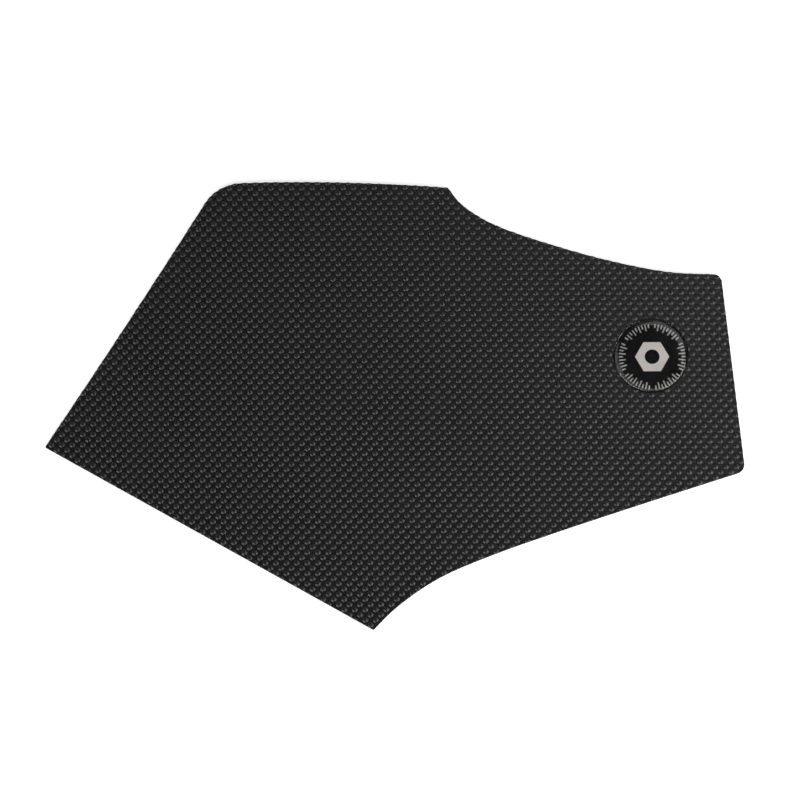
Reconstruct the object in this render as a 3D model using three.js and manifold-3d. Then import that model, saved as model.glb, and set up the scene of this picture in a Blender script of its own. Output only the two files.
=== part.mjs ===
// Tank grip: a die-cut rubber sheet covered with small studs, with a round domed badge seated in it.
// Sizes are in millimetres. The adhesive back lies on z = 0 and the studs point to +Z.
// +X runs along the sheet to the badge end, and the origin is under the middle of the outline's box.

import * as THREE from 'three';
import { mergeVertices } from 'three/addons/utils/BufferGeometryUtils.js';
import Module from 'manifold-3d';

// Outline: the corners' places, from the left tip along X and from the bottom tip along Y
const PAD_LENGTH = 236;
const PAD_WIDTH = 153;
const LEFT_TIP_RISE = 62.5;
const BOTTOM_TIP_INSET = 110.7;
const TOP_EDGE_INSET = 57.9;
const TOP_EDGE_RUN = 78.8;
const TOP_EDGE_DROP = 1.9;
const BADGE_END_FOOT = 53;
const BADGE_END_RISE = 67.4;
const BADGE_END_LEAN = 6.9;

// Outline: how far each edge bends from its chord, inwards where it is more than 0
const LEFT_EDGE_BOW = 0.4;
const TOP_EDGE_BOW = -1.2;
const UPPER_HOLLOW_DEPTH = 8;
const LOWER_HOLLOW_DEPTH = 7.6;

// Outline: corner radii
const TOP_LEFT_RADIUS = 15;
const BADGE_END_RADIUS = 3;
const TIP_RADIUS = 0.4;

// Sheet and studs
const SHEET_THICKNESS = 1.3;
const STUD_HEIGHT = 0.7;
const STUD_PITCH = 3.5;

// Badge: its disc and dome, and the seat sunk into the sheet for them
const BADGE_DIAMETER = 25;
const BADGE_FROM_END = 24.2;
const BADGE_FROM_TOP = 27.9;
const BADGE_CLEARANCE = 0.3;
const SEAT_DEPTH = 0.4;
const DISC_THICKNESS = 0.3;
const DOME_EDGE_HEIGHT = 0.35;
const DOME_RISE = 1.05;

// Shape of the two hollow edges: share of the chord from the sharp corner, and share of the full depth
const UPPER_HOLLOW_SHAPE = [[0.05, 0.43], [0.12, 0.75], [0.22, 0.95], [0.38, 1], [0.6, 0.91], [0.82, 0.6]];
const LOWER_HOLLOW_SHAPE = [[0.08, 0.55], [0.2, 0.97], [0.34, 0.98], [0.5, 0.8], [0.7, 0.5], [0.87, 0.22]];

// Fineness of the curves: steps along a bow, a hollow and a rounded corner, and round the badge
const BOW_STEPS = 10;
const HOLLOW_STEPS = 28;
const CORNER_STEPS = 6;
const ROUND_STEPS = 64;
const DOME_RINGS = 8;
const DOME_POWER = 6;

// Room that a cutting body has past the faces it cuts
const CUT_MARGIN = 1;

// Sizes that follow
const STUD_TOP = SHEET_THICKNESS + STUD_HEIGHT;
const SEAT_FLOOR = SHEET_THICKNESS - SEAT_DEPTH;
const DISC_TOP = SEAT_FLOOR + DISC_THICKNESS;
const BADGE_RADIUS = BADGE_DIAMETER / 2;
const SEAT_RADIUS = BADGE_RADIUS + BADGE_CLEARANCE;
const STUD_STEP = STUD_PITCH / Math.SQRT2;

const wasm = await Module();
wasm.setup();

const point = (x, y) => new THREE.Vector2(x, y);

// The six corners, clockwise from the left tip
function corners() {
  const badgeEndTop = BADGE_END_FOOT + BADGE_END_RISE;
  return {
    leftTip: point(0, LEFT_TIP_RISE),
    topLeft: point(TOP_EDGE_INSET, PAD_WIDTH),
    topRight: point(TOP_EDGE_INSET + TOP_EDGE_RUN, PAD_WIDTH - TOP_EDGE_DROP),
    badgeTop: point(PAD_LENGTH - BADGE_END_LEAN, badgeEndTop),
    badgeFoot: point(PAD_LENGTH, BADGE_END_FOOT),
    bottomTip: point(BOTTOM_TIP_INSET, 0),
  };
}

// An edge that bends evenly: its depth is a parabola over the chord
function bowProfile(depth) {
  const profile = [];
  for (let step = 0; step <= BOW_STEPS; step += 1) {
    const along = step / BOW_STEPS;
    profile.push([along, 4 * depth * along * (1 - along)]);
  }
  return profile;
}

// An edge that is hollowed: a smooth curve through the knots of its shape, at its full depth
function hollowProfile(shape, depth) {
  const knots = [[0, 0], ...shape, [1, 0]].map(([along, share]) => point(along, share * depth));
  return new THREE.SplineCurve(knots).getPoints(HOLLOW_STEPS).map((knot) => [knot.x, knot.y]);
}

// Lays a profile on the chord between two corners, with its depth to the right of the way it runs
function layEdge(from, to, profile) {
  const run = to.clone().sub(from);
  const inward = point(run.y, -run.x).normalize();
  return profile.map(([along, depth]) => from.clone().addScaledVector(run, along).addScaledVector(inward, depth));
}

// The same edge laid from its far end, for a hollow that is measured from there
function layEdgeFromEnd(from, to, profile) {
  const turned = profile.map(([along, depth]) => [1 - along, depth]).reverse();
  return layEdge(from, to, turned);
}

// Unit direction from a corner to the first point of an edge that lies at least a reach away
function headingFrom(corner, edge, reach) {
  const far = edge.find((spot) => spot.distanceTo(corner) >= reach) ?? edge[edge.length - 1];
  return far.clone().sub(corner).normalize();
}

// Rounds the corner between two edges by an arc that touches both, and says how much of them it takes
function roundCorner(edgeIn, edgeOut, radius) {
  const corner = edgeOut[0];
  const back = headingFrom(corner, [...edgeIn].reverse(), radius);
  const ahead = headingFrom(corner, edgeOut, radius);
  const half = Math.acos(THREE.MathUtils.clamp(back.dot(ahead), -1, 1)) / 2;
  const reach = radius / Math.tan(half);
  const middle = back.clone().add(ahead).normalize();
  const centre = corner.clone().addScaledVector(middle, radius / Math.sin(half));
  const start = corner.clone().addScaledVector(back, reach).sub(centre);
  const end = corner.clone().addScaledVector(ahead, reach).sub(centre);
  const arc = [];
  for (let step = 0; step <= CORNER_STEPS; step += 1) {
    arc.push(start.clone().lerp(end, step / CORNER_STEPS).setLength(radius).add(centre));
  }
  return { arc, reach };
}

// The whole outline, clockwise, with its box centred on the origin; also where the badge's centre falls
function layOutline() {
  const at = corners();
  const edges = [
    { radius: TIP_RADIUS, line: layEdge(at.leftTip, at.topLeft, bowProfile(LEFT_EDGE_BOW)) },
    { radius: TOP_LEFT_RADIUS, line: layEdge(at.topLeft, at.topRight, bowProfile(TOP_EDGE_BOW)) },
    {
      radius: TIP_RADIUS,
      line: layEdge(at.topRight, at.badgeTop, hollowProfile(UPPER_HOLLOW_SHAPE, UPPER_HOLLOW_DEPTH)),
    },
    { radius: BADGE_END_RADIUS, line: layEdge(at.badgeTop, at.badgeFoot, [[0, 0], [1, 0]]) },
    {
      radius: BADGE_END_RADIUS,
      line: layEdgeFromEnd(at.badgeFoot, at.bottomTip, hollowProfile(LOWER_HOLLOW_SHAPE, LOWER_HOLLOW_DEPTH)),
    },
    { radius: TIP_RADIUS, line: layEdge(at.bottomTip, at.leftTip, [[0, 0], [1, 0]]) },
  ];
  const rounded = edges.map((edge, index) => roundCorner(edges.at(index - 1).line, edge.line, edge.radius));
  const outline = edges.flatMap((edge, index) => {
    const next = (index + 1) % edges.length;
    const [first, last] = [edge.line[0], edge.line[edge.line.length - 1]];
    const between = edge.line.filter(
      (spot) => spot.distanceTo(first) > rounded[index].reach && spot.distanceTo(last) > rounded[next].reach,
    );
    return [...rounded[index].arc, ...between];
  });
  const middle = new THREE.Box2().setFromPoints(outline).getCenter(point(0, 0));
  const badge = at.badgeTop.clone().sub(point(BADGE_FROM_END, BADGE_FROM_TOP)).sub(middle);
  return { outline: outline.map((spot) => spot.clone().sub(middle)), badge };
}

// A closed geometry as a solid for cutting and joining
function toSolid(geometry) {
  const bare = geometry.clone();
  bare.deleteAttribute('normal');
  bare.deleteAttribute('uv');
  const merged = mergeVertices(bare);
  return new wasm.Manifold(new wasm.Mesh({
    numProp: 3,
    vertProperties: new Float32Array(merged.attributes.position.array),
    triVerts: new Uint32Array(merged.index.array),
  }));
}

// A solid as a geometry again
function toGeometry(solid) {
  const mesh = solid.getMesh();
  const geometry = new THREE.BufferGeometry();
  geometry.setAttribute('position', new THREE.BufferAttribute(new Float32Array(mesh.vertProperties), 3));
  geometry.setIndex(new THREE.BufferAttribute(new Uint32Array(mesh.triVerts), 1));
  geometry.computeVertexNormals();
  return geometry;
}

// A block whose top is the field of studs: on a square grid, every other node is a stud's point and
// the nodes between are the ground, which gives four-sided studs in rows that are offset by half
function studBlock(halfX, halfY) {
  const columns = 2 * Math.ceil((halfX + CUT_MARGIN) / STUD_STEP);
  const rows = 2 * Math.ceil((halfY + CUT_MARGIN) / STUD_STEP);
  const positions = [];
  const faces = [];
  const node = (column, row) => row * (columns + 1) + column;
  for (let row = 0; row <= rows; row += 1) {
    for (let column = 0; column <= columns; column += 1) {
      const isStud = (column + row) % 2 === 0;
      positions.push((column - columns / 2) * STUD_STEP, (row - rows / 2) * STUD_STEP);
      positions.push(isStud ? STUD_TOP : SHEET_THICKNESS);
    }
  }
  for (let row = 0; row < rows; row += 1) {
    for (let column = 0; column < columns; column += 1) {
      const [a, b] = [node(column, row), node(column + 1, row)];
      const [c, d] = [node(column + 1, row + 1), node(column, row + 1)];
      const cornerIsStud = (column + row) % 2 === 0;
      faces.push(...(cornerIsStud ? [a, b, d, b, c, d] : [a, b, c, a, c, d]));
    }
  }
  closeBelow(positions, faces, borderLoop(columns, rows, node));
  return solidOf(positions, faces);
}

// The grid's border nodes, counter-clockwise
function borderLoop(columns, rows, node) {
  const loop = [];
  for (let column = 0; column < columns; column += 1) loop.push(node(column, 0));
  for (let row = 0; row < rows; row += 1) loop.push(node(columns, row));
  for (let column = columns; column > 0; column -= 1) loop.push(node(column, rows));
  for (let row = rows; row > 0; row -= 1) loop.push(node(0, row));
  return loop;
}

// Closes the block by walls down from the border and a floor under the sheet's back
function closeBelow(positions, faces, loop) {
  const first = positions.length / 3;
  const centre = first + loop.length;
  loop.forEach((top) => positions.push(positions[3 * top], positions[3 * top + 1], -CUT_MARGIN));
  positions.push(0, 0, -CUT_MARGIN);
  loop.forEach((top, index) => {
    const next = (index + 1) % loop.length;
    const [low, lowNext] = [first + index, first + next];
    faces.push(top, low, lowNext, top, lowNext, loop[next]);
    faces.push(centre, lowNext, low);
  });
}

function solidOf(positions, faces) {
  const geometry = new THREE.BufferGeometry();
  geometry.setAttribute('position', new THREE.Float32BufferAttribute(positions, 3));
  geometry.setIndex(faces);
  return toSolid(geometry);
}

// The outline as an upright wall around the sheet, from its back to over the studs
function outlineBlock(outline) {
  const depth = STUD_TOP + CUT_MARGIN;
  return toSolid(new THREE.ExtrudeGeometry(new THREE.Shape(outline), { depth, bevelEnabled: false, steps: 1 }));
}

// What is taken away for the badge: a round body from the seat's floor up
function seatBlock(badge) {
  const height = STUD_TOP + CUT_MARGIN - SEAT_FLOOR;
  const round = new THREE.CylinderGeometry(SEAT_RADIUS, SEAT_RADIUS, height, ROUND_STEPS);
  round.rotateX(Math.PI / 2);
  round.translate(badge.x, badge.y, SEAT_FLOOR + height / 2);
  return toSolid(round);
}

function padGeometry(outline, badge) {
  const size = new THREE.Box2().setFromPoints(outline).getSize(point(0, 0));
  const field = studBlock(size.x / 2, size.y / 2);
  return toGeometry(field.intersect(outlineBlock(outline)).subtract(seatBlock(badge)));
}

// Turns a profile of [radius, height] points round the badge's upright axis
function turnedGeometry(profile, badge) {
  const round = new THREE.LatheGeometry(profile.map(([radius, height]) => point(radius, height)), ROUND_STEPS);
  round.rotateX(Math.PI / 2);
  round.translate(badge.x, badge.y, 0);
  return round;
}

function discGeometry(badge) {
  return turnedGeometry([[0, SEAT_FLOOR], [BADGE_RADIUS, SEAT_FLOOR], [BADGE_RADIUS, DISC_TOP], [0, DISC_TOP]], badge);
}

// The lens, as resin sets when it is poured on a disc: steep at the rim and nearly flat in the middle
function domeGeometry(badge) {
  const profile = [[0, DISC_TOP]];
  for (let ring = DOME_RINGS; ring >= 0; ring -= 1) {
    const share = Math.sin((ring / DOME_RINGS) * (Math.PI / 2));
    const height = DISC_TOP + DOME_EDGE_HEIGHT + DOME_RISE * (1 - share ** DOME_POWER);
    if (ring === DOME_RINGS) profile.push([BADGE_RADIUS, DISC_TOP]);
    profile.push([BADGE_RADIUS * share, height]);
  }
  return turnedGeometry(profile, badge);
}

function piece(name, geometry, color, roughness, metalness = 0) {
  const mesh = new THREE.Mesh(geometry, new THREE.MeshStandardMaterial({ color, roughness, metalness }));
  mesh.name = name;
  return mesh;
}

const { outline, badge } = layOutline();
const tankGrip = new THREE.Group();
tankGrip.name = 'tank_grip';
tankGrip.add(piece('grip_pad', padGeometry(outline, badge), '#2b2a2c', 0.6));
tankGrip.add(piece('badge_disc', discGeometry(badge), '#17181a', 0.4));
tankGrip.add(piece('badge_dome', domeGeometry(badge), '#e9eceb', 0.05));

export default tankGrip;
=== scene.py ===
"""A motorbike tank grip: a studded rubber sheet with a domed badge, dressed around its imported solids.

Sizes in the classes are in millimetres, in the frame of the part: the back of the sheet lies on z = 0,
the studs point to +Z and the badge end to +X. They become metres where a mesh, a lamp or the camera is made.
"""

import logging
import math
from dataclasses import dataclass, field
from enum import Enum

import bpy
import numpy as np
from mathutils import Euler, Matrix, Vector


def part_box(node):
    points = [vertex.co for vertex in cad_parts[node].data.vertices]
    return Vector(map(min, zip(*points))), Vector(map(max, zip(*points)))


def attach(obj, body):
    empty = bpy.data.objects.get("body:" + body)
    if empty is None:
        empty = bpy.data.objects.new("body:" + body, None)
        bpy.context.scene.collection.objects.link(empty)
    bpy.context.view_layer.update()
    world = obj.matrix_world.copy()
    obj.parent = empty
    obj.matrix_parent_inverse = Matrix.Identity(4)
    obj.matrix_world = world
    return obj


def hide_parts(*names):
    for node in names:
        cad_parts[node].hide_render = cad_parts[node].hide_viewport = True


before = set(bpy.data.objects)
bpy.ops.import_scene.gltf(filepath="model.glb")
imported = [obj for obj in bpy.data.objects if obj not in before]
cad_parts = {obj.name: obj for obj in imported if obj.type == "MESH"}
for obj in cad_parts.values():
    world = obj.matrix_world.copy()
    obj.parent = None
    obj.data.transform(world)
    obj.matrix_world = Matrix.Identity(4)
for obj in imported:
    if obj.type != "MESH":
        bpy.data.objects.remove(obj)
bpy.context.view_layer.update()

LOG = logging.getLogger("tank_grip")
MM = 0.001
BODY = "root"

# Decimals of a millimetre by which two corners of packed triangles are told apart
POINT_DIGITS = 3

# Limits for sorting a mesh's faces: a distance that counts as none, and the upward part of a face's normal
TOUCH_MM = 0.01
LEVEL = 0.999
NEARLY_LEVEL = 0.9
UPRIGHT = 0.01
DOWNWARD = -0.5

# Where nearly all values of a noise texture lie
NOISE_LOW = 0.3
NOISE_HIGH = 0.7

# A mix node's sockets for colours, which come after those for numbers and directions
MIX_FIRST = 6
MIX_SECOND = 7
MIX_RESULT = 2


class Cut(Enum):
    """What a cutting body does to the mesh that it meets."""

    KEEP_INSIDE = "INTERSECT"
    TAKE_AWAY = "DIFFERENCE"


class Shade(Enum):
    """How the faces of a mesh are shaded."""

    SMOOTH = True
    FLAT = False


def linear(hex_colour: str) -> tuple[float, float, float, float]:
    """Turns an sRGB hex colour to a linear one.

    Args:
        hex_colour: Six digits after a hash sign.

    Returns:
        Red, green, blue and an alpha of 1.
    """
    shares = np.array([int(hex_colour[place : place + 2], 16) for place in (1, 3, 5)]) / 255
    straight = np.where(shares <= 0.04045, shares / 12.92, ((shares + 0.055) / 1.055) ** 2.4)
    return (*straight.tolist(), 1.0)


def add_node(
    tree: bpy.types.NodeTree, kind: str, settings: dict | None = None, links: dict | None = None
) -> bpy.types.Node:
    """Adds a node to a tree.

    Args:
        tree: The node tree of a material or of the world.
        kind: The node's type, such as ShaderNodeBsdfPrincipled.
        settings: Values by the name of an attribute or, where there is none, of an input.
        links: Output sockets by the name or number of the input that they go to.

    Returns:
        The new node.
    """
    node = tree.nodes.new(kind)
    for name, value in (settings or {}).items():
        if isinstance(name, str) and hasattr(node, name):
            setattr(node, name, value)
        else:
            node.inputs[name].default_value = value
    for name, socket in (links or {}).items():
        tree.links.new(socket, node.inputs[name])
    return node


def looked_at(tree: bpy.types.NodeTree, *rays: str) -> bpy.types.NodeSocket:
    """Tells whether a ray is of one of the kinds that make a surface's look, rather than light others.

    Args:
        tree: The node tree of a material or of the world.
        rays: Names of the light path's outputs.

    Returns:
        A socket that is 1 where it is and 0 where it isn't.
    """
    path = add_node(tree, "ShaderNodeLightPath").outputs
    result = path[rays[0]]
    for ray in rays[1:]:
        result = add_node(
            tree, "ShaderNodeMath", {"operation": "MAXIMUM"}, {0: result, 1: path[ray]}
        ).outputs["Value"]
    return result


def new_material(name: str) -> tuple[bpy.types.Material, bpy.types.NodeTree]:
    """Makes a material with an empty node tree.

    Args:
        name: The material's name.

    Returns:
        The material and its tree.
    """
    material = bpy.data.materials.new(name)
    material.use_nodes = True
    material.node_tree.nodes.clear()
    return material, material.node_tree


def noise(
    tree: bpy.types.NodeTree,
    place: bpy.types.NodeSocket,
    size_mm: float,
    detail: float,
    roughness: float = 0.5,
) -> bpy.types.NodeSocket:
    """Adds a noise texture.

    Args:
        tree: The node tree of a material.
        place: The coordinates.
        size_mm: The size of the pattern's coarsest forms.
        detail: How many finer layers lie on those.
        roughness: How strong each layer is against the coarser one before it.

    Returns:
        The texture's value.
    """
    settings = {"Scale": 1 / (size_mm * MM), "Detail": detail, "Roughness": roughness}
    return add_node(tree, "ShaderNodeTexNoise", settings, {"Vector": place}).outputs["Fac"]


def bump(
    tree: bpy.types.NodeTree, height: bpy.types.NodeSocket, strength: float, depth_mm: float
) -> bpy.types.NodeSocket:
    """Adds a bump.

    Args:
        tree: The node tree of a material.
        height: The height that it follows, from 0 to 1.
        strength: How strongly it turns the surface.
        depth_mm: The real height of 1.

    Returns:
        The direction of the bumpy surface.
    """
    settings = {"Strength": strength, "Distance": depth_mm * MM}
    return add_node(tree, "ShaderNodeBump", settings, {"Height": height}).outputs["Normal"]


def blend(
    tree: bpy.types.NodeTree, share: bpy.types.NodeSocket, first: str, second: str
) -> bpy.types.NodeSocket:
    """Adds a blend of two colours.

    Args:
        tree: The node tree of a material.
        share: The share of the second colour.
        first: The first one as an sRGB hex colour.
        second: The second one.

    Returns:
        The blended colour.
    """
    settings = {"data_type": "RGBA", MIX_FIRST: linear(first), MIX_SECOND: linear(second)}
    return add_node(tree, "ShaderNodeMix", settings, {0: share}).outputs[MIX_RESULT]


def new_piece(
    name: str,
    vertices: np.ndarray,
    faces: np.ndarray,
    materials: list[bpy.types.Material],
    shade: Shade = Shade.SMOOTH,
) -> bpy.types.Object:
    """Makes a mesh object at the origin.

    Args:
        name: The object's name.
        vertices: Points in millimetres, one row each.
        faces: Corner numbers, one row a face, counter-clockwise from outside; -1 fills a row up.
        materials: The object's materials, in slot order.
        shade: Whether its faces are shaded smooth or flat.

    Returns:
        The object, linked to the scene.
    """
    mesh = bpy.data.meshes.new(name)
    corners = [row[row >= 0].tolist() for row in faces]
    mesh.from_pydata((vertices * MM).tolist(), [], corners)
    mesh.validate()
    mesh.polygons.foreach_set("use_smooth", np.full(len(mesh.polygons), shade.value))
    for material in materials:
        mesh.materials.append(material)
    piece = bpy.data.objects.new(name, mesh)
    bpy.context.scene.collection.objects.link(piece)
    return piece


def turned(profile: np.ndarray, centre: np.ndarray, steps: int) -> tuple[np.ndarray, np.ndarray]:
    """Turns a closed profile round an upright axis: a point at radius r and angle a lies at r cos a, r sin a.

    Args:
        profile: Radius and height of each ring, from the lower pole to the upper one, poles left out.
        centre: Where the axis stands, with the heights of the two poles: x, y, low, high.
        steps: The number of points in a ring.

    Returns:
        Vertices, and faces of four corners or of three and a -1.
    """
    angles = np.linspace(0, 2 * np.pi, steps, endpoint=False)
    x = centre[0] + profile[:, :1] * np.cos(angles)
    y = centre[1] + profile[:, :1] * np.sin(angles)
    z = np.repeat(profile[:, 1:], steps, axis=1)
    poles = np.array([[centre[0], centre[1], centre[2]], [centre[0], centre[1], centre[3]]])
    vertices = np.vstack([np.stack([x, y, z], axis=-1).reshape(-1, 3), poles])
    here = np.arange(steps)
    ahead = (here + 1) % steps
    rings = np.arange(len(profile) - 1)[:, None] * steps
    walls = np.stack([rings + here, rings + ahead, rings + ahead + steps, rings + here + steps], axis=-1)
    low, high = len(vertices) - 2, len(vertices) - 1
    last = (len(profile) - 1) * steps
    none = np.full(steps, -1)
    under = np.stack([ahead, here, np.full(steps, low), none], axis=-1)
    over = np.stack([last + here, last + ahead, np.full(steps, high), none], axis=-1)
    return vertices, np.vstack([walls.reshape(-1, 4), under, over])


def prism(outline: np.ndarray, low: float, high: float) -> tuple[np.ndarray, np.ndarray]:
    """Stands an outline up as a closed body with upright walls.

    Args:
        outline: Points in the plane, counter-clockwise.
        low: Height of the floor.
        high: Height of the top.

    Returns:
        Vertices and faces; the floor and the top are one face each.
    """
    count = len(outline)
    rings = [np.column_stack([outline, np.full(count, height)]) for height in (low, high)]
    here = np.arange(count)
    ahead = (here + 1) % count
    faces = np.full((count + 2, max(count, 4)), -1)
    faces[:count, :4] = np.stack([here, ahead, ahead + count, here + count], axis=-1)
    faces[count, :count] = here[::-1]
    faces[count + 1, :count] = here + count
    return np.vstack(rings), faces


def cut(piece: bpy.types.Object, cutter: bpy.types.Object, how: Cut) -> None:
    """Cuts a piece by another body, keeps the result and deletes the cutting body.

    Args:
        piece: The closed mesh to cut.
        cutter: The closed mesh that cuts.
        how: Which side of the cutter is kept.
    """
    modifier = piece.modifiers.new("cut", "BOOLEAN")
    modifier.operation = how.value
    modifier.solver = "MANIFOLD"
    modifier.object = cutter
    graph = bpy.context.evaluated_depsgraph_get()
    result = bpy.data.meshes.new_from_object(piece.evaluated_get(graph), depsgraph=graph)
    piece.modifiers.clear()
    before = piece.data
    piece.data = result
    bpy.data.meshes.remove(before)
    bpy.data.objects.remove(cutter)


def read(items: bpy.types.bpy_prop_collection, name: str, width: int, kind: type = np.float32) -> np.ndarray:
    """Reads one attribute of all of a mesh's vertices, edges, faces or triangles.

    Args:
        items: The mesh's items.
        name: The attribute.
        width: How many numbers each item has.
        kind: The numbers' type.

    Returns:
        One row an item.
    """
    values = np.empty(len(items) * width, kind)
    items.foreach_get(name, values)
    return values.reshape(-1, width)


def keep_flat(piece: bpy.types.Object, *ways: int) -> None:
    """Shades flat the faces of a turned piece that lie nearly level, so that they don't round into its wall.

    Args:
        piece: The piece.
        ways: 1 for the faces that look up and -1 for those that look down.
    """
    up = read(piece.data.polygons, "normal", 3)[:, 2]
    level = np.any([up * way > NEARLY_LEVEL for way in ways], axis=0)
    piece.data.polygons.foreach_set("use_smooth", ~level)


def corners_of(node: str) -> np.ndarray:
    """Gives a CAD node's triangles.

    Args:
        node: The node's name.

    Returns:
        An array of triangles by corners by x, y and z, in millimetres.
    """
    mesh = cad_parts[node].data
    mesh.calc_loop_triangles()
    numbers = read(mesh.loop_triangles, "vertices", 3, np.int32)
    return read(mesh.vertices, "co", 3)[numbers].astype(float) / MM


@dataclass(frozen=True)
class MouldedRubber:
    """Black thermoplastic rubber, moulded against a blasted tool: satin, with a fine even grain.

    The grain breaks the shine of each stud. The colour is painted shade: it darkens from the stud tops down
    to the deep black ground between them, and a slow drift of gloss keeps the field from looking printed.
    """

    ground_level: float
    top_level: float
    name: str = "moulded_tpu"
    # Painted shade: the darkest colour, at the ground between the studs, from which the tops are blended up
    shaded_ground_colour: str = "#110f12"
    top_colour: str = "#131114"
    roughness_low: float = 0.35
    roughness_high: float = 0.43
    ior: float = 1.50
    grain_mm: float = 0.16
    grain_depth_mm: float = 0.012
    grain_strength: float = 0.5
    drift_mm: float = 9.0
    painted_shade_share: float = 0.6

    def build(self) -> bpy.types.Material:
        """Makes the material.

        Returns:
            The material, on no piece yet.
        """
        material, tree = new_material(self.name)
        place = add_node(tree, "ShaderNodeTexCoord").outputs["Object"]
        drift = noise(tree, place, self.drift_mm, detail=3.0, roughness=0.6)
        grain = noise(tree, place, self.grain_mm, detail=2.0)
        height = add_node(tree, "ShaderNodeSeparateXYZ", links={"Vector": place}).outputs["Z"]
        stud_height = self.top_level - self.ground_level
        # Painted shade: the share of the paler top colour rises with height, from the ground up the studs
        painted_shade = add_node(
            tree,
            "ShaderNodeMapRange",
            {
                "interpolation_type": "SMOOTHSTEP",
                "From Min": self.ground_level * MM,
                "From Max": (self.ground_level + self.painted_shade_share * stud_height) * MM,
            },
            {"Value": height},
        )
        colour = blend(tree, painted_shade.outputs["Result"], self.shaded_ground_colour, self.top_colour)
        roughness = add_node(
            tree,
            "ShaderNodeMapRange",
            {
                "From Min": NOISE_LOW,
                "From Max": NOISE_HIGH,
                "To Min": self.roughness_low,
                "To Max": self.roughness_high,
            },
            {"Value": drift},
        )
        normal = bump(tree, grain, self.grain_strength, self.grain_depth_mm)
        shader = add_node(
            tree,
            "ShaderNodeBsdfPrincipled",
            {"IOR": self.ior},
            {"Base Color": colour, "Roughness": roughness.outputs["Result"], "Normal": normal},
        )
        add_node(tree, "ShaderNodeOutputMaterial", links={"Surface": shader.outputs["BSDF"]})
        return material


@dataclass(frozen=True)
class CutRubber:
    """The same rubber where the die has cut it and on its back: dull, with fine streaks down the cut."""

    name: str = "die_cut_tpu"
    colour: str = "#1a191b"
    rubbed_colour: str = "#252426"
    roughness: float = 0.68
    streak_mm: float = 0.25
    streak_depth_mm: float = 0.01
    streak_strength: float = 0.6
    streak_stretch: float = 0.15

    def build(self) -> bpy.types.Material:
        """Makes the material.

        Returns:
            The material, on no piece yet.
        """
        material, tree = new_material(self.name)
        place = add_node(tree, "ShaderNodeTexCoord").outputs["Object"]
        stretched = add_node(
            tree, "ShaderNodeMapping", {"Scale": (1.0, 1.0, self.streak_stretch)}, {"Vector": place}
        )
        streaks = noise(tree, stretched.outputs["Vector"], self.streak_mm, detail=3.0, roughness=0.6)
        colour = blend(tree, streaks, self.colour, self.rubbed_colour)
        normal = bump(tree, streaks, self.streak_strength, self.streak_depth_mm)
        shader = add_node(
            tree,
            "ShaderNodeBsdfPrincipled",
            {"Roughness": self.roughness},
            {"Base Color": colour, "Normal": normal},
        )
        add_node(tree, "ShaderNodeOutputMaterial", links={"Surface": shader.outputs["BSDF"]})
        return material


@dataclass(frozen=True)
class Print:
    """A printed surface: its colour wanders between full and thin ink."""

    name: str
    colour: str
    thin_ink_colour: str
    roughness: float
    shine: float
    mottle_mm: float

    def build(self) -> bpy.types.Material:
        """Makes the material.

        Returns:
            The material, on no piece yet.
        """
        material, tree = new_material(self.name)
        place = add_node(tree, "ShaderNodeTexCoord").outputs["Object"]
        mottle = noise(tree, place, self.mottle_mm, detail=2.0)
        shader = add_node(
            tree,
            "ShaderNodeBsdfPrincipled",
            {"Roughness": self.roughness, "Specular IOR Level": self.shine},
            {"Base Color": blend(tree, mottle, self.colour, self.thin_ink_colour)},
        )
        add_node(tree, "ShaderNodeOutputMaterial", links={"Surface": shader.outputs["BSDF"]})
        return material


@dataclass(frozen=True)
class PrintedFilm(Print):
    """Gloss black vinyl film, printed all over: nearly black with a faint unevenness in the ink."""

    name: str = "black_vinyl_film"
    colour: str = "#151515"
    thin_ink_colour: str = "#1f1f20"
    roughness: float = 0.35
    shine: float = 0.05
    mottle_mm: float = 1.2


@dataclass(frozen=True)
class PaleInk(Print):
    """Pale screen ink on the film, slightly uneven where it was squeezed through the mesh."""

    name: str = "pale_screen_ink"
    colour: str = "#dcddd8"
    thin_ink_colour: str = "#a4a6a1"
    roughness: float = 0.45
    shine: float = 0.05
    mottle_mm: float = 0.35


@dataclass(frozen=True)
class SilverInk(Print):
    """Warm silver screen ink, a little brighter than the marks round it."""

    name: str = "silver_screen_ink"
    colour: str = "#fff9f4"
    thin_ink_colour: str = "#f8eee8"
    roughness: float = 0.38
    shine: float = 0.1
    mottle_mm: float = 0.6


@dataclass(frozen=True)
class ClearResin:
    """Water-clear polyurethane, poured and set: glossy, with the faint waves that surface tension leaves."""

    name: str = "poured_polyurethane"
    tint: str = "#ffffff"
    roughness: float = 0.03
    ior: float = 1.49
    wave_mm: float = 6.0
    wave_depth_mm: float = 0.003
    wave_strength: float = 0.3

    def build(self) -> bpy.types.Material:
        """Makes the material.

        Returns:
            The material, on no piece yet.
        """
        material, tree = new_material(self.name)
        place = add_node(tree, "ShaderNodeTexCoord").outputs["Object"]
        waves = noise(tree, place, self.wave_mm, detail=1.0)
        shader = add_node(
            tree,
            "ShaderNodeBsdfPrincipled",
            {
                "Base Color": linear(self.tint),
                "Roughness": self.roughness,
                "IOR": self.ior,
                "Transmission Weight": 1.0,
            },
            {"Normal": bump(tree, waves, self.wave_strength, self.wave_depth_mm)},
        )
        add_node(tree, "ShaderNodeOutputMaterial", links={"Surface": shader.outputs["BSDF"]})
        return material


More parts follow.
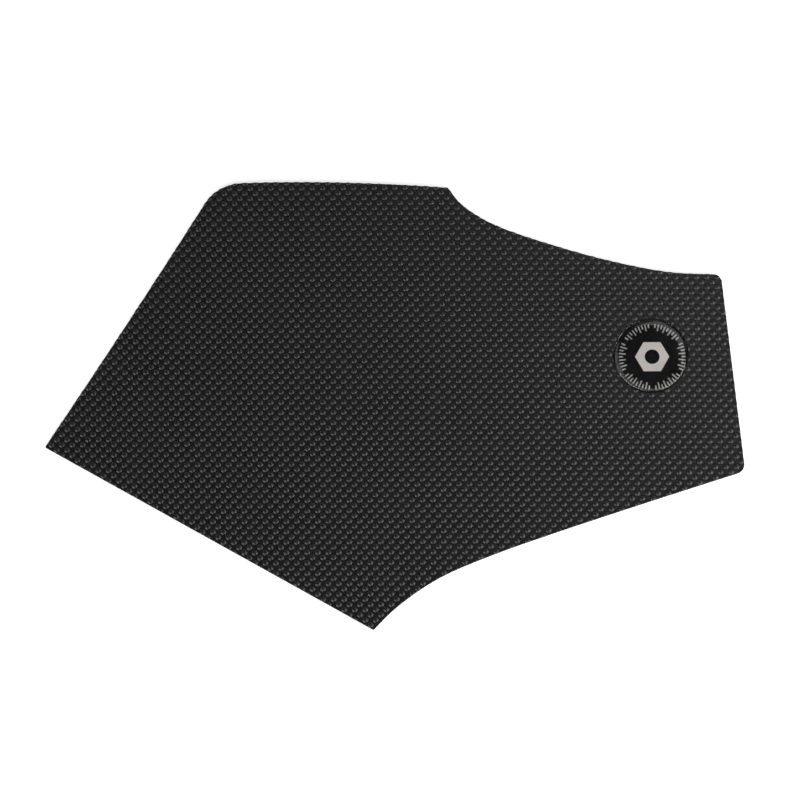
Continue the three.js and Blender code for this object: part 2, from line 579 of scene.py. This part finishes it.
@dataclass
class StuddedSheet:
    """The rubber sheet with its field of round studs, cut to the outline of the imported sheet.

    The studs stand on a square lattice that is turned by 45 degrees, so that each row is offset by half.
    On a grid of half the lattice's diagonal, every other node is a stud's centre and the nodes between
    are the corners of the studs' diamond cells.
    """

    pitch: float = 2.494
    foot_radius: float = 1.18
    shoulder_radius: float = 1.08
    shoulder_height: float = 0.2
    crown_radius: float = 0.56
    stud_height: float = 0.6
    crown_lean: float = 0.02
    crown_slip: float = 0.03
    seed: int = 5
    ring_steps: int = 8
    phase: tuple[float, float] = (0.55, 0.68)
    margin: float = 1.0
    spare_nodes: int = 2
    seat_steps: int = 128
    edge: CutRubber = field(default_factory=CutRubber)

    def outline(self) -> np.ndarray:
        """Reads the sheet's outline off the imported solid's back.

        The outline is the set of edges that only one triangle of the back has. Seen from the middle of
        the sheet each direction meets it once, so its points are put in order by their direction.

        Returns:
            Points in the plane, counter-clockwise, in millimetres.
        """
        triangles = corners_of("grip_pad")
        back = triangles[np.abs(triangles[:, :, 2]).max(axis=1) < TOUCH_MM][:, :, :2]
        points, numbers = np.unique(back.reshape(-1, 2).round(POINT_DIGITS), axis=0, return_inverse=True)
        numbers = numbers.reshape(-1, 3)
        edges = np.sort(np.stack([numbers, np.roll(numbers, -1, axis=1)], axis=-1).reshape(-1, 2), axis=1)
        unique, counts = np.unique(edges, axis=0, return_counts=True)
        rim = points[np.unique(unique[counts == 1])]
        return rim[np.argsort(np.arctan2(rim[:, 1], rim[:, 0]))]

    def stud_profile(self) -> list[tuple[float, float]]:
        """Gives the radius and the height over the ground of each ring, from the stud's foot up."""
        return [
            (self.foot_radius, 0.0),
            (self.shoulder_radius, self.shoulder_height),
            (self.crown_radius, self.stud_height),
        ]

    def field_mesh(self, half: np.ndarray, ground: float) -> tuple[np.ndarray, np.ndarray]:
        """Builds a closed slab whose top is the field of studs.

        A cell is a diamond with its corners at the four odd nodes round an even one. Inside it, rings
        of the stud's profile rise to a small level crown: a ring's point at angle a lies at r cos a, r sin a.

        Args:
            half: Half the length and width that the field has to cover.
            ground: Height of the ground between the studs.

        Returns:
            Vertices and triangles.
        """
        step = self.pitch / math.sqrt(2)
        reach = np.ceil((half + self.margin) / step).astype(int) + self.spare_nodes
        columns, rows = np.meshgrid(np.arange(-reach[0], reach[0] + 1), np.arange(-reach[1], reach[1] + 1))
        inside = ((columns + rows) % 2 == 0) & (abs(columns) < reach[0]) & (abs(rows) < reach[1])
        cells = np.column_stack([columns[inside], rows[inside]])
        centres = cells * step + np.array(self.phase)

        width = 2 * reach[0] + 1
        sides = np.array([[1, 0], [0, 1], [-1, 0], [0, -1]])
        around = cells[:, None, :] + sides
        keys = (around[..., 1] + reach[1]) * width + around[..., 0] + reach[0]
        nodes, corner = np.unique(keys.ravel(), return_inverse=True)
        corner = corner.reshape(-1, 4)
        node_place = np.column_stack([nodes % width - reach[0], nodes // width - reach[1]]) * step
        node_place = node_place + np.array(self.phase)
        top_nodes = np.column_stack([node_place, np.full(len(nodes), ground)])
        low_nodes = np.column_stack([node_place, np.full(len(nodes), -self.margin)])

        angles = np.arange(self.ring_steps) * (2 * np.pi / self.ring_steps)
        round_way = np.column_stack([np.cos(angles), np.sin(angles)])
        rings = []
        for radius, height in self.stud_profile():
            flat = centres[:, None, :] + radius * round_way
            rings.append(np.dstack([flat, np.full(flat.shape[:2], ground + height)]))
        rings[-1] += self.unevenness(len(cells), round_way)
        studs = np.concatenate(rings, axis=1)
        per_stud = studs.shape[1]

        first = 2 * len(nodes) + np.arange(len(cells))[:, None] * per_stud
        foot = first + np.arange(self.ring_steps)
        faces = [*self.ground_faces(corner, foot), *self.stud_faces(first)]
        faces.append(np.stack([corner[:, 0], corner[:, 2], corner[:, 1]], axis=-1) + len(nodes))
        faces.append(np.stack([corner[:, 0], corner[:, 3], corner[:, 2]], axis=-1) + len(nodes))
        faces.extend(self.rim_faces(corner, len(nodes)))
        vertices = np.vstack([top_nodes, low_nodes, studs.reshape(-1, 3)])
        return vertices, np.vstack(faces)

    def unevenness(self, count: int, round_way: np.ndarray) -> np.ndarray:
        """Leans and shifts each stud's crown a little, as a hand-blasted tool leaves it, from a fixed seed.

        Args:
            count: The number of studs.
            round_way: The directions of a ring's points.

        Returns:
            What to add to the crown's points, in x, y and z: one shift a stud, and a lean along its slope.
        """
        draw = np.random.default_rng(self.seed)
        slip = draw.normal(0, self.crown_slip, (count, 1, 2)) * np.ones((1, len(round_way), 1))
        slope = draw.normal(0, self.crown_lean, (count, 2))
        lean = -np.abs(slope @ round_way.T)
        return np.dstack([slip, lean])

    def ground_faces(self, corner: np.ndarray, foot: np.ndarray) -> list[np.ndarray]:
        """Joins each cell's four corners to the ring at its stud's foot.

        Args:
            corner: The numbers of the four corners of each cell.
            foot: The numbers of the foot ring's points of each cell.

        Returns:
            Arrays of triangles: a quarter of the ring faces one corner, with a triangle between quarters.
        """
        quarter = self.ring_steps // 4
        faces = []
        for side in range(4):
            here, ahead = corner[:, side], corner[:, (side + 1) % 4]
            middle = side * quarter + quarter // 2
            for step in range(quarter):
                low = side * quarter + step
                near = here if low < middle else ahead
                faces.append(np.stack([near, foot[:, (low + 1) % self.ring_steps], foot[:, low]], axis=-1))
            faces.append(np.stack([here, ahead, foot[:, middle]], axis=-1))
        return faces

    def stud_faces(self, first: np.ndarray) -> list[np.ndarray]:
        """Joins each stud's rings to one another, and fills the uppermost one, of eight points, by six faces.

        Args:
            first: The number of each stud's first point, as a column.

        Returns:
            Arrays of triangles.
        """
        here = np.arange(self.ring_steps)
        ahead = (here + 1) % self.ring_steps
        faces = []
        ring_count = len(self.stud_profile())
        for ring in range(ring_count - 1):
            low, high = first + ring * self.ring_steps, first + (ring + 1) * self.ring_steps
            faces.append(np.stack([low + here, low + ahead, high + ahead], axis=-1).reshape(-1, 3))
            faces.append(np.stack([low + here, high + ahead, high + here], axis=-1).reshape(-1, 3))
        crown = first + (ring_count - 1) * self.ring_steps
        for a, b, c in ((0, 1, 2), (2, 3, 4), (4, 5, 6), (6, 7, 0), (0, 2, 4), (4, 6, 0)):
            faces.append(np.hstack([crown + a, crown + b, crown + c]))
        return faces

    def rim_faces(self, corner: np.ndarray, below: int) -> list[np.ndarray]:
        """Closes the slab's sides: a wall under each cell edge that only one cell has.

        Args:
            corner: The numbers of the four corners of each cell.
            below: What to add to a top node's number for the node under it.

        Returns:
            Arrays of triangles.
        """
        edges = np.stack([corner, np.roll(corner, -1, axis=1)], axis=-1).reshape(-1, 2)
        _, index, counts = np.unique(np.sort(edges, axis=1), axis=0, return_index=True, return_counts=True)
        here, ahead = edges[index[counts == 1]].T
        return [
            np.stack([here, here + below, ahead + below], axis=-1),
            np.stack([here, ahead + below, ahead], axis=-1),
        ]

    def build(self, badge: "Badge") -> bpy.types.Object:
        """Makes the sheet, cut to its outline and with the badge's seat sunk into it.

        Args:
            badge: The badge that the seat is for.

        Returns:
            The piece.
        """
        outline = self.outline()
        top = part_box("grip_pad")[1].z / MM
        ground = top - self.stud_height
        half = np.abs(outline).max(axis=0)
        materials = [MouldedRubber(ground, top).build(), self.edge.build()]
        piece = new_piece("studded_sheet", *self.field_mesh(half, ground), materials)
        cut(piece, new_piece("outline", *prism(outline, 0.0, top + self.margin), []), Cut.KEEP_INSIDE)
        ring = badge.ring(badge.radius + badge.clearance, self.seat_steps)
        seat = new_piece("seat", *prism(ring, badge.floor, top + self.margin), [])
        cut(piece, seat, Cut.TAKE_AWAY)
        self.dress(piece, ground)
        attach(piece, BODY)
        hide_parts("grip_pad")
        return piece

    def dress(self, piece: bpy.types.Object, ground: float) -> None:
        """Gives the cut walls and the back their own finish and keeps them, the ground and the seat flat.

        Args:
            piece: The cut sheet.
            ground: Height of the ground between the studs.
        """
        mesh = piece.data
        up = read(mesh.polygons, "normal", 3)[:, 2]
        height = read(mesh.polygons, "center", 3)[:, 2] / MM
        wall = np.abs(up) < UPRIGHT
        back = up < DOWNWARD
        level = (up > LEVEL) & (height < ground + TOUCH_MM)
        mesh.polygons.foreach_set("material_index", (wall | back).astype(np.int32))
        mesh.polygons.foreach_set("use_smooth", ~(wall | back | level))
        self.crease(mesh, ground + self.shoulder_height)
        mesh.update()

    def crease(self, mesh: bpy.types.Mesh, level: float) -> None:
        """Makes the edges at one level sharp, where a stud's steep foot turns into its rounded top.

        Args:
            mesh: The sheet's mesh.
            level: The height of those edges.
        """
        ends = read(mesh.edges, "vertices", 2, np.int32)
        heights = read(mesh.vertices, "co", 3)[ends, 2] / MM
        mesh.edges.foreach_set("use_edge_sharp", np.abs(heights - level).max(axis=1) < TOUCH_MM)


@dataclass
class Badge:
    """The round badge in its seat: a printed film disc, its raised marks, and a poured clear dome.

    The marks are plain: a ring of short strokes like a dial's, and a hexagon nut in the middle.
    """

    clearance: float = 0.3
    film_edge: float = 0.04
    ink_thickness: float = 0.02
    ink_gap: float = 0.004
    round_steps: int = 128
    print_shift: tuple[float, float] = (0.4, -0.35)
    stroke_count: int = 60
    stroke_inner: float = 9.0
    short_stroke_inner: float = 9.9
    stroke_outer: float = 11.2
    stroke_width: float = 0.45
    stroke_group: int = 10
    nut_across_flats: float = 10.0
    nut_bore: float = 5.0
    dome_edge_height: float = 0.45
    dome_power: float = 14.0
    dome_rings: int = 28
    centre: np.ndarray = field(init=False)
    radius: float = field(init=False)
    floor: float = field(init=False)
    film_top: float = field(init=False)
    dome_top: float = field(init=False)

    def __post_init__(self) -> None:
        """Takes the badge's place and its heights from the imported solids."""
        low, high = (np.array(corner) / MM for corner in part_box("badge_disc"))
        self.centre = ((low + high) / 2)[:2]
        self.radius = float(high[0] - low[0]) / 2
        self.floor = float(low[2])
        self.film_top = float(high[2])
        self.dome_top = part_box("badge_dome")[1].z / MM

    def ring(self, radius: float, steps: int) -> np.ndarray:
        """Gives the points of a circle round the badge's axis: at angle a, the radius times cos a and sin a.

        Args:
            radius: The circle's radius.
            steps: The number of points.

        Returns:
            Points in the plane, counter-clockwise.
        """
        angles = np.linspace(0, 2 * np.pi, steps, endpoint=False)
        return self.centre + radius * np.column_stack([np.cos(angles), np.sin(angles)])

    def film(self) -> bpy.types.Object:
        """Makes the film disc: its profile is a straight edge with a small bevel under it and over it.

        Returns:
            The piece.
        """
        ink_room = self.ink_thickness + 2 * self.ink_gap
        top = self.film_top - ink_room
        small = self.radius - self.film_edge
        rings = [
            [small, self.floor],
            [self.radius, self.floor + self.film_edge],
            [self.radius, top - self.film_edge],
            [small, top],
        ]
        poles = np.array([*self.centre, self.floor, top])
        piece = new_piece(
            "badge_film", *turned(np.array(rings), poles, self.round_steps), [PrintedFilm().build()]
        )
        keep_flat(piece, 1, -1)
        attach(piece, BODY)
        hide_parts("badge_disc")
        return piece

    def print_centre(self) -> np.ndarray:
        """Gives the middle of the print, which is a little off the badge's own."""
        return self.centre + np.array(self.print_shift)

    def ink_heights(self) -> tuple[float, float]:
        """Gives the lowest and highest level of the ink."""
        high = self.film_top - self.ink_gap
        return high - self.ink_thickness, high

    def strokes(self) -> bpy.types.Object:
        """Makes the ring of strokes: long and short boxes by turns, with one of every group left out.

        Stroke n points outwards at n shares of the full turn, and a box's four sides at each level lie
        at its inner and outer radius and at half its width to each side.

        Returns:
            The piece.
        """
        numbers = np.arange(self.stroke_count)
        numbers = numbers[numbers % self.stroke_group != self.stroke_group // 2]
        angles = numbers * (2 * np.pi / self.stroke_count)
        out = np.column_stack([np.cos(angles), np.sin(angles)])
        across = np.column_stack([-np.sin(angles), np.cos(angles)])
        low, high = self.ink_heights()
        inner = np.where(numbers % 2 == 0, self.short_stroke_inner, self.stroke_inner)[:, None]
        corners = []
        for height in (low, high):
            for radius, side in ((inner, -1), (self.stroke_outer, -1), (self.stroke_outer, 1), (inner, 1)):
                flat = self.print_centre() + radius * out + side * self.stroke_width / 2 * across
                corners.append(np.column_stack([flat, np.full(len(flat), height)]))
        vertices = np.stack(corners, axis=1).reshape(-1, 3)
        box = np.array([[3, 2, 1, 0], [4, 5, 6, 7], [0, 1, 5, 4], [1, 2, 6, 5], [2, 3, 7, 6], [3, 0, 4, 7]])
        faces = (np.arange(len(numbers))[:, None, None] * len(corners) + box).reshape(-1, 4)
        piece = new_piece("badge_strokes", vertices, faces, [PaleInk().build()], Shade.FLAT)
        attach(piece, BODY)
        return piece

    def nut(self) -> bpy.types.Object:
        """Makes the nut: the band between a hexagon and a round bore.

        At angle a the hexagon's edge lies at half its width across flats over the cosine of the angle
        from the middle of the nearest flat. Two of its corners point along X. The steps are a multiple
        of twice its sides, so that a point falls on each corner and on the middle of each flat.

        Returns:
            The piece.
        """
        sides = 6
        steps = self.round_steps - self.round_steps % (2 * sides)
        angles = np.linspace(0, 2 * np.pi, steps, endpoint=False)
        from_flat = angles % (2 * np.pi / sides) - np.pi / sides
        outer = self.nut_across_flats / 2 / np.cos(from_flat)
        inner = np.full(steps, self.nut_bore / 2)
        low, high = self.ink_heights()
        rings = []
        for radius, height in ((inner, low), (outer, low), (outer, high), (inner, high)):
            flat = self.print_centre() + radius[:, None] * np.column_stack([np.cos(angles), np.sin(angles)])
            rings.append(np.column_stack([flat, np.full(steps, height)]))
        here = np.arange(steps)
        ahead = (here + 1) % steps
        faces = []
        for ring in range(len(rings)):
            low_ring, high_ring = ring * steps, (ring + 1) % len(rings) * steps
            faces.append(
                np.stack([low_ring + here, low_ring + ahead, high_ring + ahead, high_ring + here], axis=-1)
            )
        piece = new_piece(
            "badge_nut", np.vstack(rings), np.vstack(faces), [SilverInk().build()], Shade.FLAT
        )
        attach(piece, BODY)
        return piece

    def dome(self) -> bpy.types.Object:
        """Makes the dome, as surface tension leaves it: nearly level, with a round shoulder.

        Its height over the edge is the rise times the root of what is left of 1 when a high power of the
        share of the radius is taken away. The rings crowd towards the rim by a sine, twice.

        Returns:
            The piece.
        """
        share = np.sin(np.sin(np.linspace(1, 0, self.dome_rings, endpoint=False) * np.pi / 2) * np.pi / 2)
        edge = self.film_top + self.dome_edge_height
        rise = self.dome_top - edge
        height = rise * np.sqrt(1 - share**self.dome_power)
        crown = np.column_stack([self.radius * share, edge + height])
        rings = np.vstack([[[self.radius, self.film_top]], crown])
        poles = np.array([*self.centre, self.film_top, self.dome_top])
        piece = new_piece("badge_lens", *turned(rings, poles, self.round_steps), [ClearResin().build()])
        keep_flat(piece, -1)
        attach(piece, BODY)
        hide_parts("badge_dome")
        return piece

    def build(self) -> list[bpy.types.Object]:
        """Makes the badge's pieces, from the seat up."""
        return [self.film(), self.strokes(), self.nut(), self.dome()]


@dataclass(frozen=True)
class Softbox:
    """A rectangular lamp, turned to the middle of the sheet, with its brightness against white paper's."""

    name: str
    azimuth: float
    elevation: float
    distance: float
    width: float
    height: float
    brightness: float

    def build(self) -> bpy.types.Object:
        """Makes the lamp. Azimuth 0 stands on the camera's side, at -Y, and 90 at +X.

        Returns:
            The lamp.
        """
        data = bpy.data.lights.new(self.name, "AREA")
        data.shape = "RECTANGLE"
        data.size = self.width * MM
        data.size_y = self.height * MM
        data.energy = self.brightness * math.pi * data.size * data.size_y
        lamp = bpy.data.objects.new(self.name, data)
        bpy.context.scene.collection.objects.link(lamp)
        turn, tilt = math.radians(self.azimuth), math.radians(self.elevation)
        way = Vector((math.sin(turn) * math.cos(tilt), -math.cos(turn) * math.cos(tilt), math.sin(tilt)))
        lamp.location = way * self.distance * MM
        lamp.rotation_euler = way.to_track_quat("Z", "Y").to_euler()
        lamp.visible_camera = False
        return lamp


@dataclass
class Studio:
    """The pale floor, the lamps, the surroundings and the camera.

    Lengths are in millimetres and angles in degrees. The two floor distances say where its lift starts to
    rise to white and where it has done so. The lamps' numbers come in the order of Softbox's own fields.
    """

    floor_half: float = 12000.0
    floor_colour: str = "#f7f7f7"
    floor_lift: float = 0.58
    near_floor: float = 400.0
    far_floor: float = 1200.0
    floor_drop: float = 0.02
    fibre: float = 10 / 9
    fibre_depth: float = 0.02
    fibre_strength: float = 0.1
    overhead: float = 0.03
    horizon: float = 0.32
    lens: float = 167.73
    sensor_width: float = 36.0
    nearest: float = 50.0
    farthest: float = 100000.0
    camera_place: tuple[float, float, float] = (13.86, -203.43, 1244.2)
    camera_turn: tuple[float, float, float] = (9.343, 0.592, -0.266)
    lamps: tuple[Softbox, ...] = (
        Softbox("softbox_left", -38.0, 32.0, 1100.0, 1030.0, 440.0, 5.6),
        Softbox("softbox_right", 62.0, 36.0, 430.0, 400.0, 172.0, 6.0),
        Softbox("side_panel", 135.0, 52.0, 520.0, 300.0, 300.0, 1.45),
        Softbox("back_panel", 180.0, 25.0, 700.0, 700.0, 260.0, 0.3),
        Softbox("small_panel_near", -115.0, 30.0, 700.0, 60.0, 90.0, 10.0),
        Softbox("small_panel_far", -138.0, 30.0, 700.0, 60.0, 90.0, 10.0),
    )

    def floor(self) -> bpy.types.Object:
        """Makes the floor: white paper, lifted where it is looked at, and far from the sheet up to white.

        Returns:
            The floor, which isn't a piece of the part.
        """
        material, tree = new_material("white_paper")
        place = add_node(tree, "ShaderNodeTexCoord").outputs["Object"]
        fibres = noise(tree, place, self.fibre, detail=2.0)
        paper = add_node(
            tree,
            "ShaderNodeBsdfDiffuse",
            {"Color": linear(self.floor_colour)},
            {"Normal": bump(tree, fibres, self.fibre_strength, self.fibre_depth)},
        )
        sight = looked_at(tree, "Is Camera Ray", "Is Glossy Ray", "Is Transmission Ray")
        reach = add_node(tree, "ShaderNodeVectorMath", {"operation": "LENGTH"}, {0: place}).outputs["Value"]
        lift = add_node(
            tree,
            "ShaderNodeMapRange",
            {
                "interpolation_type": "SMOOTHSTEP",
                "From Min": self.near_floor * MM,
                "From Max": self.far_floor * MM,
                "To Min": self.floor_lift,
                "To Max": 1.0,
            },
            {"Value": reach},
        )
        strength = add_node(
            tree,
            "ShaderNodeMath",
            {"operation": "MULTIPLY"},
            {0: sight, 1: lift.outputs["Result"]},
        )
        glow = add_node(tree, "ShaderNodeEmission", links={"Strength": strength.outputs["Value"]})
        both = add_node(
            tree, "ShaderNodeAddShader", links={0: paper.outputs["BSDF"], 1: glow.outputs["Emission"]}
        )
        add_node(tree, "ShaderNodeOutputMaterial", links={"Surface": both.outputs["Shader"]})
        side = self.floor_half
        flat = np.array([[-side, -side], [side, -side], [side, side], [-side, side]])
        vertices = np.column_stack([flat, np.full(4, -self.floor_drop)])
        floor = new_piece("floor", vertices, np.array([[0, 1, 2, 3]]), [material], Shade.FLAT)
        return floor

    def surroundings(self) -> None:
        """Makes the world: brightest at the horizon, dim overhead, falling with the square of the height.

        It is white to the camera alone. Rubber mirrors the dimmer world, so that no veil lies over the
        sheet. Rays through clear resin meet that one too, because they also light the film in the badge.
        """
        world = bpy.data.worlds.new("studio")
        bpy.context.scene.world = world
        world.use_nodes = True
        tree = world.node_tree
        tree.nodes.clear()
        way = add_node(tree, "ShaderNodeTexCoord").outputs["Generated"]
        height = add_node(tree, "ShaderNodeSeparateXYZ", links={"Vector": way}).outputs["Z"]
        from_top = add_node(
            tree, "ShaderNodeMath", {"operation": "SUBTRACT", "use_clamp": True, 0: 1.0}, {1: height}
        )
        falling = add_node(
            tree, "ShaderNodeMath", {"operation": "POWER", 1: 2.0}, {0: from_top.outputs["Value"]}
        )
        strength = add_node(
            tree,
            "ShaderNodeMapRange",
            {"To Min": self.overhead, "To Max": self.horizon},
            {"Value": falling.outputs["Value"]},
        )
        sight = looked_at(tree, "Is Camera Ray")
        seen = add_node(
            tree, "ShaderNodeMath", {"operation": "MAXIMUM"}, {0: strength.outputs["Result"], 1: sight}
        )
        light = add_node(
            tree, "ShaderNodeBackground", {"Color": (1, 1, 1, 1)}, {"Strength": seen.outputs["Value"]}
        )
        add_node(tree, "ShaderNodeOutputWorld", links={"Surface": light.outputs["Background"]})

    def camera(self) -> bpy.types.Object:
        """Makes the camera, which looks down on the sheet from a little below its lower edge.

        Returns:
            The camera.
        """
        data = bpy.data.cameras.new("camera")
        data.lens = self.lens
        data.sensor_width = self.sensor_width
        data.clip_start = self.nearest * MM
        data.clip_end = self.farthest * MM
        camera = bpy.data.objects.new("camera", data)
        bpy.context.scene.collection.objects.link(camera)
        camera.location = Vector(self.camera_place) * MM
        camera.rotation_euler = Euler([math.radians(angle) for angle in self.camera_turn], "XYZ")
        bpy.context.scene.camera = camera
        return camera

    def build(self) -> None:
        """Makes the camera, the floor, the lamps and the world, and sets the plain view of colours."""
        self.camera()
        self.floor()
        self.surroundings()
        for lamp in self.lamps:
            lamp.build()
        bpy.context.scene.view_settings.view_transform = "Standard"


def report(piece: bpy.types.Object) -> None:
    """Logs a piece's name, its triangles and its size in millimetres.

    Args:
        piece: The piece.
    """
    piece.data.calc_loop_triangles()
    size = " x ".join(f"{side / MM:.2f}" for side in piece.dimensions)
    LOG.info("%s: %d triangles, %s mm", piece.name, len(piece.data.loop_triangles), size)


def main() -> None:
    """Builds the studio, the sheet and the badge."""
    logging.basicConfig(level=logging.INFO, format="%(name)s %(message)s")
    Studio().build()
    badge = Badge()
    pieces = [StuddedSheet().build(badge), *badge.build()]
    bpy.context.view_layer.update()
    for piece in pieces:
        report(piece)


if __name__ == "__main__":
    main()
